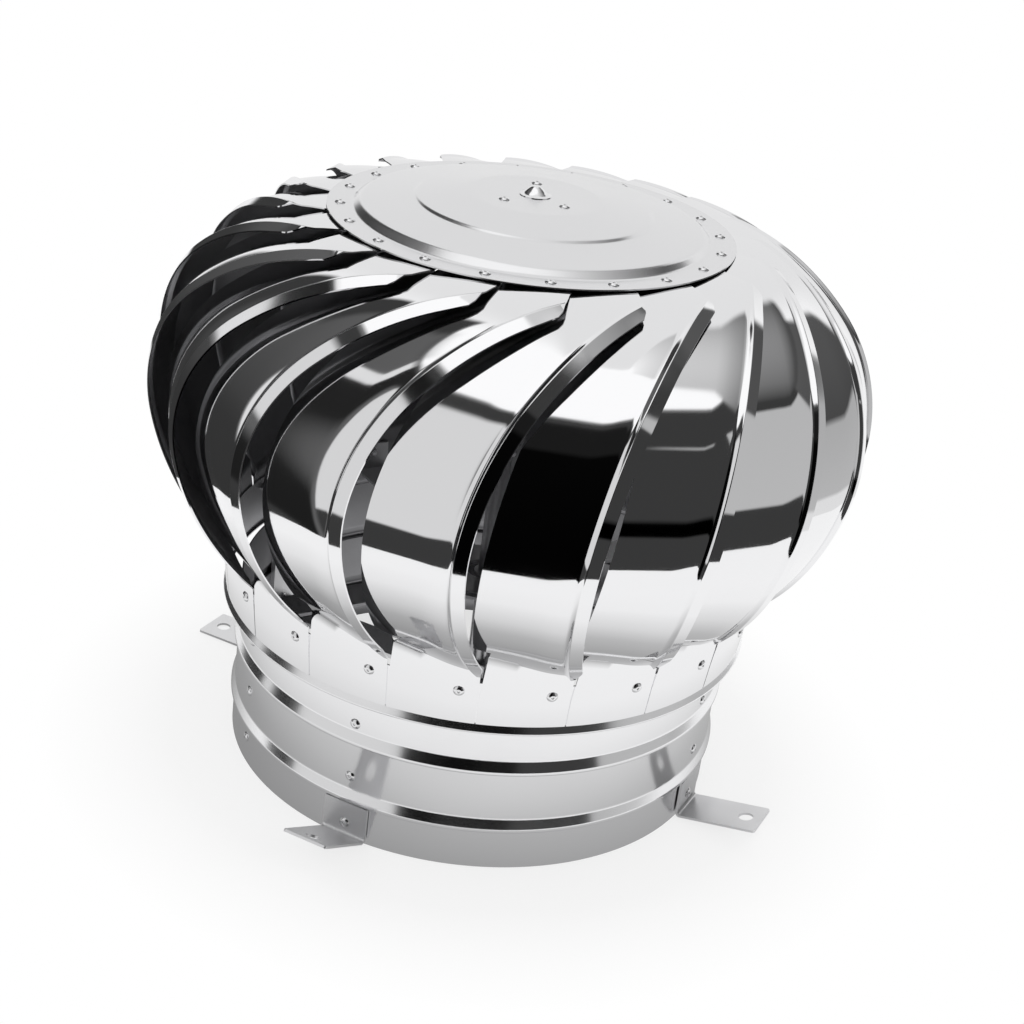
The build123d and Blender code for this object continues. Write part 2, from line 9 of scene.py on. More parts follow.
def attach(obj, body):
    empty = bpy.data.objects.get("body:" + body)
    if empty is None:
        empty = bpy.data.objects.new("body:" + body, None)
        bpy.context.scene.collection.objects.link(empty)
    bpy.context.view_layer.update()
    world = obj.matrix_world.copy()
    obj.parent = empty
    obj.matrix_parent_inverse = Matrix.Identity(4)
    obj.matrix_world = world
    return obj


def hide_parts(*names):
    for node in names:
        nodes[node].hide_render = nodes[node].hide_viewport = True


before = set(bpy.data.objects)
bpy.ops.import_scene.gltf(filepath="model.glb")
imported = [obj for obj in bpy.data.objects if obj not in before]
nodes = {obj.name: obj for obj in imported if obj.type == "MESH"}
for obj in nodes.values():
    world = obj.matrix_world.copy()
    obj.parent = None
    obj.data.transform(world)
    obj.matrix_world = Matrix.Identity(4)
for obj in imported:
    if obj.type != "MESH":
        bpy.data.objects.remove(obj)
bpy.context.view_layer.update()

# The visual model of the roof turbine ventilator. Metres, CAD frame: +Z up, the photograph's front is -Y.
# Azimuths are degrees about +Z from +X. Sizes in millimetres are marked by MM.

MM = 0.001


def in_mm(*numbers):
    return tuple(number * MM for number in numbers)


# Collar: a fixed sheet ring with two beads and a riveted seam
SHEET = 0.8 * MM
COLLAR_RADIUS = 150.0 * MM
COLLAR_HEIGHT = 103.0 * MM
COLLAR_BEADS = in_mm(28.7, 66.9)
# A bead from its upper end to its lower end, in millimetres: height from its middle, and how far it stands out
COLLAR_BEAD = (
    (4.5, 0.0),
    (3.6, 0.15),
    (-1.4, 2.1),
    (-2.0, 2.25),
    (-3.5, 2.25),
    (-4.1, 1.9),
    (-4.6, 0.5),
    (-4.8, 0.0),
)
COLLAR_CORNER_RADIUS = 0.5 * MM
BEAD_CORNER_STEPS = 4
SEAM_AZIMUTH = 208.5
SEAM_RIVET_HEIGHTS = in_mm(15.6, 47.7, 82.0)

# Foot brackets and the cross bars behind them
BRACKET_COUNT = 4
BRACKET_AZIMUTHS = [65.4 + 360.0 / BRACKET_COUNT * i for i in range(BRACKET_COUNT)]
BRACKET_THICKNESS = 1.5 * MM
BRACKET_RIVET_HEIGHT = 10.2 * MM
BRACKET_RIVET_GRIP = 2.4 * MM
BAR_RIVET_HEIGHTS = in_mm(41.0, 75.6)
BAR_RIVET_GRIP = 3.9 * MM

# Rotor ring: a cone, wider at its top, with a flared bead at its foot
RING_BOTTOM = 94.5 * MM
RING_TOP = 127.0 * MM
RING_FOOT_RADIUS = 158.2 * MM
RING_SLOPE = 6.8
RING_BEAD_TOP = 100.2 * MM
# Radius and height below that, in millimetres
RING_BEAD = ((160.5, 96.8), (160.8, 96.1), (160.8, 95.3), (160.3, 94.7), (159.4, 94.5), (158.4, 94.5))
RING_CORNER_RADIUS = 0.6 * MM
RING_RIVET_AZIMUTH = 213.44
RING_RIVET_HEIGHT = 120.8 * MM
RING_RIVET_GRIP = 2 * SHEET
BRACE_RIVET_EVERY = 5
BRACE_RIVET_GRIP = RING_RIVET_GRIP + 2.1 * MM

# Vanes: the tilted plane of the rolled line, and the arcs of that line with the slope at the end of each
VANE_COUNT = 20
VANE_PITCH = 360.0 / VANE_COUNT
LIP_PLANE_AZIMUTH = 37.15
LIP_PLANE_DISTANCE = 112.5 * MM
LIP_PLANE_HEIGHT = 225.0 * MM
LIP_PLANE_TILT = 7.3
FLAT_START = 34.0 * MM
FLAT_END = 50.8 * MM
VANE_ARCS = ((152.87 * MM, 40.0), (92.92 * MM, 100.0), (142.88 * MM, 150.16))
VANE_TOP_HEIGHT = 336.4 * MM
# The blade runs on from the lip at its own azimuth
BLADE_AZIMUTH = 50.2
BLADE_WIDTH = 50.0 * MM
LIP_WIDTH = 7.0 * MM
SHEET_WIDTH = LIP_WIDTH + BLADE_WIDTH
# The flange at the free edge falls away from the bead, less so on the flat top
FLANGE_WIDTH = 5.74 * MM
LIP_DROP = 3.4 * MM
LIP_TOP_DROP = 1.2 * MM
LIP_TOP_SLOPE = 12.0
# The bead beside the flange and the turned margin of the blade next to it: places across the sheet, and how
# far the face lies inside the bead's crest there, along the blade and on its flat top
BEAD_PLACES = in_mm(
    5.74, 5.95, 6.15, 6.4, 6.8, 7.6, 8.5, 9.2, 9.7, 11, 14, 15.5, 17, 18.5, 20, 22, 24
)
BEAD_DEPTHS = in_mm(
    0.15, 0.03, 0.0, 0.06, 0.26, 0.70, 1.16, 1.38, 1.40, 1.18, 0.81, 0.64, 0.50, 0.38, 0.30, 0.22, 0.2
)
BEAD_TOP_DEPTHS = in_mm(0.15, 0.03, 0.0, 0.04, 0.12, 0.38, 0.65, 0.69, *(0.7,) * 9)
MARGIN_SLOPE = 25.0
# The tab under the cap, and the notch beside it
VANE_TOP_AZIMUTH = 174.3
VANE_GAP = 0.6 * MM
TAB_INNER_RADIUS = 99.0 * MM
NOTCH_RADIUS = 144.4 * MM
NOTCH_AZIMUTH = 188.2
NOTCH_REACH = 10.0 * MM
# The foot on the rotor ring, and the slit beside it
VANE_FOOT_BOTTOM = 100.0 * MM
VANE_FOOT_AZIMUTH = 145.3
SLIT_BOTTOM = 117.0 * MM
SLIT_TOP = 152.0 * MM
SLIT_WIDTH = 3.0 * MM
# The vane's mesh: steps along the flat top, degrees per step on the arcs, the slope at which the rows start to
# run out onto the fold of the foot, and the steps below it, down the foot and across the sheet
FLAT_STEPS = 10
ARC_STEP = 1.6
LOWER_PART_SLOPE = 112.0
LOWER_STEPS = 22
FOOT_STEPS = 8
EDGE_STRIP = 0.3 * MM
CREASE_STRIP = 0.15 * MM
FLANGE_STEPS = 4
BLADE_STEPS = 10
CUT_SAMPLES = 240
CUT_HALVINGS = 20
FOLD_HALVINGS = 24

# Cap: (radius, height) from the centre hole to the rim
CAP_RADIUS = 117.1 * MM
CAP_TOP = 351.8 * MM
CAP_RIM_TOP = 337.2 * MM
CAP_LINE = (
    (4.0 * MM, CAP_TOP),
    (38.0 * MM, CAP_TOP),
    in_mm(66.5, 347.0),
    in_mm(69.0, 345.4),
    in_mm(98.0, 341.2),
    (103.0 * MM, CAP_RIM_TOP),
    (CAP_RADIUS, CAP_RIM_TOP),
)
CAP_CORNER_RADIUS = 1.8 * MM
CAP_RIVET_RADIUS = 109.3 * MM
CAP_RIVET_AZIMUTH = 187.05
CAP_RIVET_GRIP = 2 * SHEET
CUP_RIVET_RADIUS = 24.0 * MM
CUP_RIVET_AZIMUTHS = (90.0, 225.0, 315.0)
CUP_RIVET_GRIP = 2.3 * MM
# Plug, a low bell with a thin rim and a stem in the cap's hole: radius and height above the cap, in millimetres
PLUG_LINE = (
    (0.0, 5.6),
    (1.5, 5.4),
    (2.8, 4.8),
    (4.0, 3.9),
    (5.2, 2.8),
    (6.4, 1.8),
    (7.6, 1.05),
    (8.8, 0.6),
    (9.25, 0.4),
    (9.25, 0.0),
    (3.8, 0.0),
    (3.8, -1.4),
    (0.0, -1.6),
)

# Rivet, in millimetres: radius and height along the dimpled dome, the shank's radius, and the set end's radius
# and how far its edge and its middle stand off the sheet
RIVET_DOME = (
    (0.0, 0.75),
    (0.55, 0.72),
    (0.75, 1.15),
    (1.3, 1.28),
    (2.0, 1.1),
    (2.7, 0.65),
    (3.1, 0.22),
    (3.2, 0.0),
)
RIVET_SHANK_RADIUS = 1.6
RIVET_SET_RADIUS = 2.3
RIVET_SET_EDGE = 1.2
RIVET_SET_MIDDLE = 1.4
RIVET_STEPS = 24


# Helpers
def polar(radius, azimuth, height):
    a = radians(azimuth)
    return Vector((radius * cos(a), radius * sin(a), height))


def add_object(name, data):
    added = bpy.data.objects.new(name, data)
    bpy.context.scene.collection.objects.link(added)
    return added


def make_piece(
    name, vertices, faces, material, body, replaced=(), sharp=40.0, merge=0.0, inside=()
):
    """A mesh object that rides on a body, smooth but for its creases. The faces listed inside get a rougher
    steel whose colour is darkened to paint the shade on the sheet's inner side.
    """
    mesh = bpy.data.meshes.new(name)
    mesh.from_pydata([tuple(v) for v in vertices], [], faces)
    for index in inside:
        mesh.polygons[index].material_index = 1
    if merge:
        edit = bmesh.new()
        edit.from_mesh(mesh)
        bmesh.ops.remove_doubles(edit, verts=edit.verts, dist=merge)
        bmesh.ops.recalc_face_normals(edit, faces=edit.faces)
        edit.to_mesh(mesh)
        edit.free()
    mesh.polygons.foreach_set("use_smooth", [True] * len(mesh.polygons))
    mesh.set_sharp_from_angle(angle=radians(sharp))
    piece = add_object(name, mesh)
    piece.data.materials.append(material)
    if inside:
        piece.data.materials.append(shaded_inner_steel)
    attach(piece, body)
    if replaced:
        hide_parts(*replaced)
    return piece


def lathe(
    name, profile, material, body, replaced=(), steps=288, sharp=35.0, merge=0.0, sheet=True
):
    """Revolves a closed outline of (radius, height) points. The second half of a sheet's is its inside, which
    gets the darkened steel of painted shade.
    """
    count = len(profile)
    vertices = []
    for i in range(steps):
        a = 2 * pi * i / steps
        vertices += [(r * cos(a), r * sin(a), z) for r, z in profile]
    faces, inside = [], []
    for i in range(steps):
        j = (i + 1) % steps
        for k in range(count):
            m = (k + 1) % count
            if sheet and count // 2 <= k < count - 1:
                inside.append(len(faces))
            faces.append((i * count + k, j * count + k, j * count + m, i * count + m))
    return make_piece(name, vertices, faces, material, body, replaced, sharp, merge, inside)


def thicken(line, thickness):
    """Closed outline of a sheet: the line, and back along it moved to its right by the thickness."""
    points = np.array(line)
    along = np.gradient(points, axis=0)
    along /= np.linalg.norm(along, axis=1)[:, None]
    right = np.stack([along[:, 1], -along[:, 0]], axis=1)
    return [tuple(p) for p in points] + [tuple(p) for p in (points + right * thickness)[::-1]]


def round_corners(points, radius, steps=6):
    """The outline's line with each inner corner rounded."""
    out = [points[0]]
    for before, corner, after in zip(points, points[1:], points[2:]):
        b, c, a = Vector(before), Vector(corner), Vector(after)
        reach = min(radius, (b - c).length * 0.45, (a - c).length * 0.45)
        start = c + (b - c).normalized() * reach
        end = c + (a - c).normalized() * reach
        for i in range(steps + 1):
            t = i / steps
            out.append(tuple(start * (1 - t) ** 2 + c * 2 * t * (1 - t) + end * t**2))
    return out + [points[-1]]


def band_faces(rings, steps):
    """Faces between closed rings of vertices, each of the same number of steps."""
    faces = []
    for i in range(rings - 1):
        for j in range(steps):
            k = (j + 1) % steps
            faces.append((i * steps + j, (i + 1) * steps + j, (i + 1) * steps + k, i * steps + k))
    return faces


def ring_radius(height):
    return RING_FOOT_RADIUS + (height - RING_BOTTOM) * tan(radians(RING_SLOPE))


def foot_radius(height):
    return ring_radius(height) + SHEET


# Materials
CLOUD_SCALE = 22.0
CLOUD_DETAIL = 5.0
CLOUD_LOW, CLOUD_HIGH = 0.35, 0.75
WAVE_DETAIL = 1.0
SCRATCH_STRETCH = (260.0, 260.0, 18.0)
SCRATCH_DETAIL = 6.0
SCRATCH_DEPTH = 0.05 * MM


def steel(name, colour, roughness, roughness_spread, wave, wave_size, scratch=0.0):
    """Bare stainless sheet: cloudy roughness, a slow waviness and fine scratches."""
    material = bpy.data.materials.new(name)
    material.use_nodes = True
    tree = material.node_tree
    shader = tree.nodes["Principled BSDF"]
    shader.inputs["Base Color"].default_value = (*colour, 1)
    shader.inputs["Metallic"].default_value = 1.0
    place = tree.nodes.new("ShaderNodeTexCoord")

    def noise(source, scale, detail):
        texture = tree.nodes.new("ShaderNodeTexNoise")
        texture.inputs["Scale"].default_value = scale
        texture.inputs["Detail"].default_value = detail
        tree.links.new(source, texture.inputs["Vector"])
        return texture.outputs["Fac"]

    def bump(height, strength, distance):
        node = tree.nodes.new("ShaderNodeBump")
        node.inputs["Strength"].default_value = strength
        node.inputs["Distance"].default_value = distance
        tree.links.new(height, node.inputs["Height"])
        return node

    spread = tree.nodes.new("ShaderNodeMapRange")
    spread.inputs["From Min"].default_value = CLOUD_LOW
    spread.inputs["From Max"].default_value = CLOUD_HIGH
    spread.inputs["To Min"].default_value = roughness
    spread.inputs["To Max"].default_value = roughness + roughness_spread
    clouds = noise(place.outputs["Object"], CLOUD_SCALE, CLOUD_DETAIL)
    tree.links.new(clouds, spread.inputs["Value"])
    tree.links.new(spread.outputs["Result"], shader.inputs["Roughness"])

    last = bump(noise(place.outputs["Object"], wave_size, WAVE_DETAIL), 1.0, wave)
    if scratch:
        stretch = tree.nodes.new("ShaderNodeMapping")
        stretch.inputs["Scale"].default_value = SCRATCH_STRETCH
        tree.links.new(place.outputs["Object"], stretch.inputs["Vector"])
        marks = bump(noise(stretch.outputs["Vector"], 1.0, SCRATCH_DETAIL), scratch, SCRATCH_DEPTH)
        tree.links.new(last.outputs["Normal"], marks.inputs["Normal"])
        last = marks
    tree.links.new(last.outputs["Normal"], shader.inputs["Normal"])
    return material


def grey(level):
    """A steel's colour: a little more blue than red and green."""
    return (level, level, level + 0.01)


# Name, colour, roughness and its spread, depth and fineness of the waves, strength of the scratches
mirror = steel("polished vane sheet", grey(0.86), 0.035, 0.05, 0.6 * MM, 9.0, 0.05)
satin_cap = steel("satin cap sheet", grey(0.80), 0.18, 0.06, 0.6 * MM, 9.0, 0.25)
plug_steel = steel("bright plug", grey(0.86), 0.10, 0.06, 0.1 * MM, 60.0)
ring_steel = steel("polished ring sheet", grey(0.90), 0.16, 0.08, 0.5 * MM, 12.0, 0.1)
collar_steel = steel("polished collar sheet", grey(0.84), 0.12, 0.08, 0.8 * MM, 11.0, 0.1)
# Inner side: a rougher steel, its colour darkened to paint the shade that falls inside the sheets and shows in
# their reflections
shaded_inner_steel = steel("inner side with painted shade", grey(0.30), 0.30, 0.15, 0.4 * MM, 14.0, 0.2)
strap_steel = steel("satin strap", grey(0.80), 0.32, 0.10, 0.3 * MM, 30.0, 0.3)
rivet_metal = steel("rivet metal", grey(0.82), 0.14, 0.08, 0.1 * MM, 200.0)
plain_steel = steel("plain hardware steel", grey(0.56), 0.30, 0.12, 0.2 * MM, 60.0, 0.2)
bearing_metal = steel("ground bearing steel", grey(0.66), 0.12, 0.05, 0.1 * MM, 80.0)


# Vanes
def lip_line():
    """Points of the vane's rolled line in its plane: (along, height, slope in radians), top to foot."""
    top = (VANE_TOP_HEIGHT - LIP_PLANE_HEIGHT) / cos(radians(LIP_PLANE_TILT))
    top -= LIP_WIDTH * tan(radians(LIP_PLANE_TILT))
    flat_step = (FLAT_END - FLAT_START) / FLAT_STEPS
    points = [(FLAT_START + flat_step * i, top, 0.0) for i in range(FLAT_STEPS + 1)]
    slope = 0.0
    along, height = FLAT_END, top
    for radius, end in VANE_ARCS:
        centre = (along - radius * sin(slope), height - radius * cos(slope))
        steps = max(2, round((end - degrees(slope)) / ARC_STEP))
        start = slope
        for i in range(1, steps + 1):
            slope = start + (radians(end) - start) * i / steps
            points.append((centre[0] + radius * sin(slope), centre[1] + radius * cos(slope), slope))
        along, height = points[-1][:2]
    return points


def lip_profile(w, slope):
    """How far the sheet's outer face lies outside the bead's crest. It is never above zero."""
    if w < FLANGE_WIDTH:
        turned = min(slope / radians(LIP_TOP_SLOPE), 1.0)
        edge = LIP_TOP_DROP + (LIP_DROP - LIP_TOP_DROP) * turned
        return (edge - BEAD_DEPTHS[0]) * w / FLANGE_WIDTH - edge
    top_depth = float(np.interp(w, BEAD_PLACES, BEAD_TOP_DEPTHS))
    depth = float(np.interp(w, BEAD_PLACES, BEAD_DEPTHS))
    return (top_depth - depth) * min(slope / radians(MARGIN_SLOPE), 1.0) - top_depth


plane_a = radians(LIP_PLANE_AZIMUTH)
plane_t = radians(LIP_PLANE_TILT)
PLANE_OUT = Vector((cos(plane_a), sin(plane_a), 0))
PLANE_FOOT = Vector((0, 0, LIP_PLANE_HEIGHT)) - PLANE_OUT * LIP_PLANE_DISTANCE
PLANE_INWARD = Vector((cos(plane_a) * cos(plane_t), sin(plane_a) * cos(plane_t), sin(plane_t)))
PLANE_ALONG = Vector((-sin(plane_a), cos(plane_a), 0))
PLANE_UP = PLANE_INWARD.cross(PLANE_ALONG)
BLADE = Vector((cos(radians(BLADE_AZIMUTH)), sin(radians(BLADE_AZIMUTH)), 0))


def vane_point(line_point, w, depth=0.0):
    """A point of the vane's sheet, w across from its free edge and a depth inside its outer face."""
    along, height, slope = line_point
    out = lip_profile(w, slope) - depth
    x = along + out * sin(slope)
    y = height + out * cos(slope)
    return (
        PLANE_FOOT
        + PLANE_ALONG * x
        + PLANE_UP * y
        + PLANE_INWARD * min(w, LIP_WIDTH)
        + BLADE * max(w - LIP_WIDTH, 0.0)
    )


def azimuth_of(p):
    return degrees(atan2(p.y, p.x)) % 360.0


def in_top(p):
    """True where the vane's sheet is left after its top is cut to shape."""
    r = hypot(p.x, p.y)
    gap = degrees(VANE_GAP / 2 / CAP_RIVET_RADIUS)
    far_side = VANE_TOP_AZIMUTH + VANE_PITCH - gap
    if r < TAB_INNER_RADIUS:
        return False
    if r < CAP_RADIUS:
        return VANE_TOP_AZIMUTH + gap < azimuth_of(p) < far_side
    corner = polar(CAP_RADIUS, far_side, 0)
    notch = polar(NOTCH_RADIUS, NOTCH_AZIMUTH, 0)
    side = (notch.x - corner.x) * (p.y - corner.y) - (notch.y - corner.y) * (p.x - corner.x)
    return side < 0 or r > NOTCH_RADIUS + NOTCH_REACH


def foot_sides(height):
    """Azimuths of the foot's two sides at a height: the slit beside it widens upwards."""
    slit = SLIT_WIDTH * max(0.0, height - SLIT_BOTTOM) / (SLIT_TOP - SLIT_BOTTOM)
    gap = degrees(VANE_GAP / 2 / foot_radius(height))
    near_side = VANE_FOOT_AZIMUTH + gap + degrees(slit / foot_radius(height))
    return near_side, VANE_FOOT_AZIMUTH + VANE_PITCH - gap


def in_foot(p):
    near_side, far_side = foot_sides(p.z)
    return p.z > SLIT_TOP or near_side <= azimuth_of(p) <= far_side


def cut_range(row, keep):
    """First and last place across the sheet where keep is true. A row gives the line's point for each w."""
    samples = [SHEET_WIDTH * i / CUT_SAMPLES for i in range(CUT_SAMPLES + 1)]
    flags = [keep(vane_point(row(w), w)) for w in samples]
    if not any(flags):
        return None
    first = flags.index(True)
    last = len(flags) - 1 - flags[::-1].index(True)

    def edge(inside, outside):
        for _ in range(CUT_HALVINGS):
            middle = (inside + outside) / 2
            if keep(vane_point(row(middle), middle)):
                inside = middle
            else:
                outside = middle
        return inside

    low = samples[0] if first == 0 else edge(samples[first], samples[first - 1])
    high = samples[-1] if last == len(samples) - 1 else edge(samples[last], samples[last + 1])
    return low, high


def blend_points(a, b, share):
    return tuple(x + (y - x) * share for x, y in zip(a, b))


def fold_place(w, line, first):
    """Where the column at w meets the foot's cone, as a place along the line's points."""

    def in_cone(line_point):
        q = vane_point(line_point, w)
        return hypot(q.x, q.y) < foot_radius(q.z)

    for i in range(first, len(line) - 1):
        if in_cone(line[i + 1]):
            low, high = 0.0, 1.0
            for _ in range(FOLD_HALVINGS):
                middle = (low + high) / 2
                if in_cone(blend_points(line[i], line[i + 1], middle)):
                    high = middle
                else:
                    low = middle
            return i + low
    return len(line) - 1.0


def foot_rows(fold):
    """Outer and inner rows of the foot, which goes on down the cone from the fold."""
    for step in range(1, FOOT_STEPS + 1):
        outer, inner = [], []
        for q in fold:
            near_side, far_side = foot_sides(q.z)
            share = min(max((azimuth_of(q) - near_side) / (far_side - near_side), 0.0), 1.0)
            height = q.z + (VANE_FOOT_BOTTOM - q.z) * step / FOOT_STEPS
            near_side, far_side = foot_sides(height)
            azimuth = near_side + (far_side - near_side) * share
            outer.append(polar(foot_radius(height), azimuth, height))
            inner.append(polar(foot_radius(height) - SHEET, azimuth, height))
        yield outer, inner


def sheet_faces(rows, columns):
    """Faces of a closed sheet whose vertices are rows of columns outside, and then the same inside."""
    back = rows * columns
    faces = []
    for i in range(rows - 1):
        for j in range(columns - 1):
            a, d = i * columns + j, (i + 1) * columns + j
            faces.append((a, a + 1, d + 1, d))
            faces.append((back + d, back + d + 1, back + a + 1, back + a))
        for j in (0, columns - 1):
            a, d = i * columns + j, (i + 1) * columns + j
            faces.append((a, d, back + d, back + a) if j == 0 else (d, a, back + a, back + d))
    for i in (0, rows - 1):
        for j in range(columns - 1):
            a, b = i * columns + j, i * columns + j + 1
            faces.append((b, a, back + a, back + b) if i == 0 else (a, b, back + b, back + a))
    return faces


def vane_mesh():
    """Vertices, faces and inner faces of the first vane: a closed sheet with tab, blade, lip and foot."""
    across = [0.0, EDGE_STRIP]
    across += [FLANGE_WIDTH * i / FLANGE_STEPS for i in range(1, FLANGE_STEPS)]
    across += [FLANGE_WIDTH - CREASE_STRIP, *BEAD_PLACES]
    rest = SHEET_WIDTH - BEAD_PLACES[-1]
    across += [BEAD_PLACES[-1] + rest * i / BLADE_STEPS for i in range(1, BLADE_STEPS + 1)]
    line = lip_line()
    turn = next(i for i, p in enumerate(line) if p[2] > radians(LOWER_PART_SLOPE))

    def upper_row(i):
        return lambda w: line[i]

    def lower_row(share):
        def row(w):
            place = turn + (fold_place(w, line, turn) - turn) * share
            i = min(int(place), len(line) - 2)
            return blend_points(line[i], line[i + 1], place - i)

        return row

    rows = [(upper_row(i), in_top) for i in range(turn)]
    rows += [(lower_row(i / LOWER_STEPS), in_foot) for i in range(LOWER_STEPS + 1)]
    outer, inner = [], []
    for row, keep in rows:
        reach = cut_range(row, keep)
        if reach is None:
            continue
        places = [min(max(w, reach[0]), reach[1]) for w in across]
        outer.append([vane_point(row(w), w) for w in places])
        inner.append([vane_point(row(w), w, SHEET) for w in places])

    fold, inner_fold = outer[-1], inner[-1]
    for outer_row, inner_row in foot_rows(fold):
        outer.append(outer_row)
        inner.append(inner_row)
    # At the fold the inner side stays on the cone or inside it
    for i, q in enumerate(fold):
        if hypot(inner_fold[i].x, inner_fold[i].y) > foot_radius(q.z) - SHEET:
            inner_fold[i] = polar(foot_radius(q.z) - SHEET, azimuth_of(q), q.z)

    vertices = [q for points in outer + inner for q in points]
    faces = sheet_faces(len(outer), len(across))
    back = len(outer) * len(across)
    inside = [i for i, face in enumerate(faces) if min(face) >= back]
    return vertices, faces, inside


vane_vertices, vane_faces, vane_inside = vane_mesh()
for number in range(VANE_COUNT):
    turning = Matrix.Rotation(radians(VANE_PITCH * number), 3, "Z")
    name = "vane_" + str(number + 1).zfill(2)
    make_piece(
        "dressed_" + name,
        [turning @ v for v in vane_vertices],
        vane_faces,
        mirror,
        "rotor",
        (name,),
        sharp=38.0,
        merge=0.02 * MM,
        inside=vane_inside,
    )


# Cap, plug, rotor ring and collar
lathe(
    "dressed_cap",
    thicken(round_corners(CAP_LINE, CAP_CORNER_RADIUS), SHEET),
    satin_cap,
    "rotor",
    ("top_cap",),
)
lathe(
    "dressed_plug",
    [(r * MM, CAP_TOP + rise * MM) for r, rise in PLUG_LINE],
    plug_steel,
    "rotor",
    ("centre_plug",),
    steps=48,
    sharp=50.0,
    merge=0.002 * MM,
    sheet=False,
)

ring_line = [(ring_radius(z), z) for z in (RING_TOP, RING_BEAD_TOP)]
ring_line += [in_mm(*p) for p in RING_BEAD]
ring_outline = thicken(round_corners(ring_line, RING_CORNER_RADIUS, BEAD_CORNER_STEPS), SHEET)
lathe("dressed_ring", ring_outline, ring_steel, "rotor", ("rotor_ring",))

collar_line = [(COLLAR_RADIUS, COLLAR_HEIGHT)]
for bead in reversed(COLLAR_BEADS):
    collar_line += [(COLLAR_RADIUS + out * MM, bead + height * MM) for height, out in COLLAR_BEAD]
collar_line.append((COLLAR_RADIUS, 0.0))
collar_outline = thicken(round_corners(collar_line, COLLAR_CORNER_RADIUS, BEAD_CORNER_STEPS), SHEET)
lathe("dressed_collar", collar_outline, collar_steel, "base", ("throat_collar",))


# Rivets
def rivet_piece(name, places, grip, body, replaced):
    """Domed blind rivets: (centre of the head's foot, direction out) for each, in one object."""
    depth = grip / MM
    profile = list(RIVET_DOME)
    profile += [(RIVET_SHANK_RADIUS, 0.0), (RIVET_SHANK_RADIUS, -depth), (RIVET_SET_RADIUS, -depth)]
    profile += [(RIVET_SET_RADIUS, -depth - RIVET_SET_EDGE), (0.0, -depth - RIVET_SET_MIDDLE)]
    profile = [in_mm(*p) for p in profile]
    count = len(profile)
    vertices, faces = [], []
    for centre, out in places:
        side = out.orthogonal().normalized()
        up = out.cross(side)
        start = len(vertices)
        for i in range(RIVET_STEPS):
            a = 2 * pi * i / RIVET_STEPS
            for r, h in profile:
                vertices.append(centre + (side * cos(a) + up * sin(a)) * r + out * h)
        for i in range(RIVET_STEPS):
            this = start + i * count
            after = start + (i + 1) % RIVET_STEPS * count
            for k in range(count - 1):
                faces.append((this + k, after + k, after + k + 1, this + k + 1))
    return make_piece(
        name, vertices, faces, rivet_metal, body, replaced, sharp=50.0, merge=0.005 * MM
    )


def wall_place(azimuth, radius, height, lean=0.0):
    a, b = radians(azimuth), radians(lean)
    return polar(radius, azimuth, height), Vector((cos(a) * cos(b), sin(a) * cos(b), -sin(b)))


def top_place(azimuth, radius, height):
    return polar(radius, azimuth, height), Vector((0, 0, 1))


ring_places = [
    wall_place(
        RING_RIVET_AZIMUTH + VANE_PITCH * i,
        foot_radius(RING_RIVET_HEIGHT),
        RING_RIVET_HEIGHT,
        RING_SLOPE,
    )
    for i in range(VANE_COUNT)
]
rivet_piece(
    "dressed_ring_rivets",
    [p for i, p in enumerate(ring_places) if i % BRACE_RIVET_EVERY],
    RING_RIVET_GRIP,
    "rotor",
    ("rotor_ring_rivets",),
)
rivet_piece(
    "dressed_brace_rivets",
    ring_places[::BRACE_RIVET_EVERY],
    BRACE_RIVET_GRIP,
    "rotor",
    ("rotor_brace_rivets",),
)
rivet_piece(
    "dressed_cap_rivets",
    [
        top_place(CAP_RIVET_AZIMUTH + VANE_PITCH * i, CAP_RIVET_RADIUS, CAP_RIM_TOP)
        for i in range(VANE_COUNT)
    ],
    CAP_RIVET_GRIP,
    "rotor",
    ("cap_rivets",),
)
rivet_piece(
    "dressed_upper_cup_rivets",
    [top_place(azimuth, CUP_RIVET_RADIUS, CAP_TOP) for azimuth in CUP_RIVET_AZIMUTHS],
    CUP_RIVET_GRIP,
    "rotor",
    ("upper_cup_rivets",),
)
rivet_piece(
    "dressed_seam_rivets",
    [wall_place(SEAM_AZIMUTH, COLLAR_RADIUS, z) for z in SEAM_RIVET_HEIGHTS],
    2 * SHEET,
    "base",
    ("collar_seam_rivets",),
)
rivet_piece(
    "dressed_bar_rivets",
    [wall_place(azimuth, COLLAR_RADIUS, z) for azimuth in BRACKET_AZIMUTHS for z in BAR_RIVET_HEIGHTS],
    BAR_RIVET_GRIP,
    "base",
    ("cross_bar_rivets",),
)
rivet_piece(
    "dressed_bracket_rivets",
    [
        wall_place(azimuth, COLLAR_RADIUS + BRACKET_THICKNESS, BRACKET_RIVET_HEIGHT)
        for azimuth in BRACKET_AZIMUTHS
    ],
    BRACKET_RIVET_GRIP,
    "base",
    ("foot_bracket_rivets",),
)


# Carried-over CAD nodes
def dress(node, material):
    for place in nodes[node].material_slots:
        place.material = material


for node in nodes:
    if node.startswith("foot_bracket_") and node != "foot_bracket_rivets":
        dress(node, strap_steel)
    elif node in ("lower_cross_bar", "upper_cross_bar", "rotor_brace"):
        dress(node, strap_steel)
    elif node.startswith(("shaft", "lower_cup", "upper_bearing_cup", "lower_bearing_cup")):
        dress(node, plain_steel)
    elif "bearing" in node:
        dress(node, bearing_metal)

# Stage: a round pale floor, a dome of studio panels that only reflections see, and a glowing disc round the
# foot, also seen only in reflections, that paints the object's shadow on the floor
DOME_RADIUS = 4.0
DOME_CENTRE_HEIGHT = 200.0 * MM
DOME_STEPS = 288
DOME_ROWS = 120
STUDIO_LEVEL = 1.12
